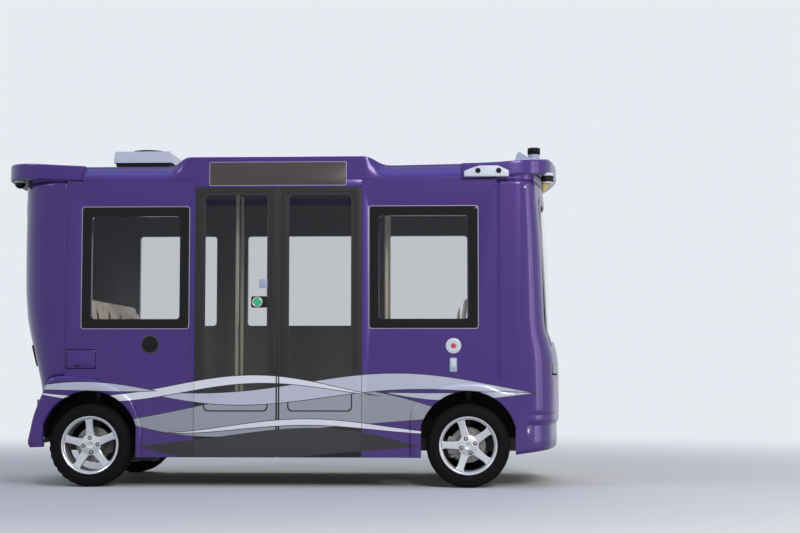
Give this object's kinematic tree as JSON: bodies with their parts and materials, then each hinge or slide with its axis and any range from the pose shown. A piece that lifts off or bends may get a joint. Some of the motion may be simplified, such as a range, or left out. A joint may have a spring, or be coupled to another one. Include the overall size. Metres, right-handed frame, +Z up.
{
  "type": "passenger shuttle bus",
  "caption": "Small driverless passenger shuttle bus: hollow cabin with large windows and twin-leaf doors, steered front wheels, roof cooling unit, sensor pods and a hinged charge flap.",
  "frame": {"origin": "middle of the footprint's bounding box on the ground", "axes": "+X forward along the vehicle, +Y to its left, +Z up; the doors are on the -Y side"},
  "size_m": [4.1444, 1.84, 2.551],
  "materials": {
    "body_paint": "gloss",
    "dark_frame": "satin",
    "glazing": "gloss",
    "tyre_rubber": "matte",
    "wheel_alloy": "satin",
    "brake_iron": "machined",
    "chassis_paint": "satin",
    "bare_steel": "brushed",
    "battery_case": "satin",
    "dark_plastic": "matte",
    "floor_cover": "matte",
    "pale_plastic": "satin",
    "display_black": "gloss",
    "lamp_cover": "gloss",
    "seat_cover": "satin"
  },
  "bodies": {
    "body": {"panel_rear_right": "body_paint", "panel_front_right": "body_paint", "panel_left": "body_paint", "fenders": "body_paint", "rear_shell": "body_paint", "front_shell": "body_paint", "front_bumper": "body_paint", "rear_bumper": "body_paint", "roof": "body_paint", "door_leaf_rear": "dark_frame", "door_leaf_front": "dark_frame", "side_windows": "glazing", "windscreen": "glazing", "rear_window": "glazing", "door_glass": "glazing", "chassis_frame": "chassis_paint", "rear_axle": "chassis_paint", "front_axle": "chassis_paint", "grab_poles": "bare_steel", "battery_pack": "battery_case", "wheel_housings_front": "dark_plastic", "wheel_housings_rear": "dark_plastic", "corner_sensors": "dark_plastic", "charge_inlet": "dark_plastic", "floor_deck": "floor_cover", "cooling_unit": "pale_plastic", "roof_sensor": "pale_plastic", "side_cameras": "pale_plastic", "display_panel": "display_black", "lamps": "lamp_cover", "seats": "seat_cover"},
    "steering_right": {"knuckle_right": "chassis_paint"},
    "steering_left": {"knuckle_left": "chassis_paint"},
    "rack": {"steering_rack": "bare_steel"},
    "wheel_front_right": {"tyre_front_right": "tyre_rubber", "rim_front_right": "wheel_alloy", "disc_front_right": "brake_iron"},
    "wheel_front_left": {"tyre_front_left": "tyre_rubber", "rim_front_left": "wheel_alloy", "disc_front_left": "brake_iron"},
    "wheel_rear_right": {"tyre_rear_right": "tyre_rubber", "rim_rear_right": "wheel_alloy", "disc_rear_right": "brake_iron"},
    "wheel_rear_left": {"tyre_rear_left": "tyre_rubber", "rim_rear_left": "wheel_alloy", "disc_rear_left": "brake_iron"},
    "flap": {"charge_flap": "body_paint"}
  },
  "joints": [
    {"name": "steer_right", "type": "hinge", "parent": "body", "child": "steering_right", "pos_m": [1.379, -0.665, 0.298], "axis": [0, 0, 1], "range_deg": [-30, 30]},
    {"name": "steer_left", "type": "hinge", "parent": "body", "child": "steering_left", "pos_m": [1.379, 0.665, 0.298], "axis": [0, 0, 1], "range_deg": [-30, 30]},
    {"name": "rack_slide", "type": "slide", "parent": "body", "child": "rack", "axis": [0, 1, 0], "range_m": [-0.0601, 0.0601]},
    {"name": "spin_front_right", "type": "hinge", "parent": "steering_right", "child": "wheel_front_right", "pos_m": [1.379, -0.772, 0.298], "axis": [0, 1, 0], "continuous": true},
    {"name": "spin_front_left", "type": "hinge", "parent": "steering_left", "child": "wheel_front_left", "pos_m": [1.379, 0.772, 0.298], "axis": [0, 1, 0], "continuous": true},
    {"name": "spin_rear_right", "type": "hinge", "parent": "body", "child": "wheel_rear_right", "pos_m": [-1.333, -0.772, 0.298], "axis": [0, 1, 0], "continuous": true},
    {"name": "spin_rear_left", "type": "hinge", "parent": "body", "child": "wheel_rear_left", "pos_m": [-1.333, 0.772, 0.298], "axis": [0, 1, 0], "continuous": true},
    {"name": "flap_hinge", "type": "hinge", "parent": "body", "child": "flap", "pos_m": [-1.4025, -0.864, 0.974], "axis": [-1, 0, 0], "range_deg": [0, 90]}
  ],
  "couplings": [
    {"joint": "steer_left", "follows": "steer_right", "ratio": 1},
    {"joint": "rack_slide", "follows": "steer_right", "m_per_rad": -0.11459}
  ]
}
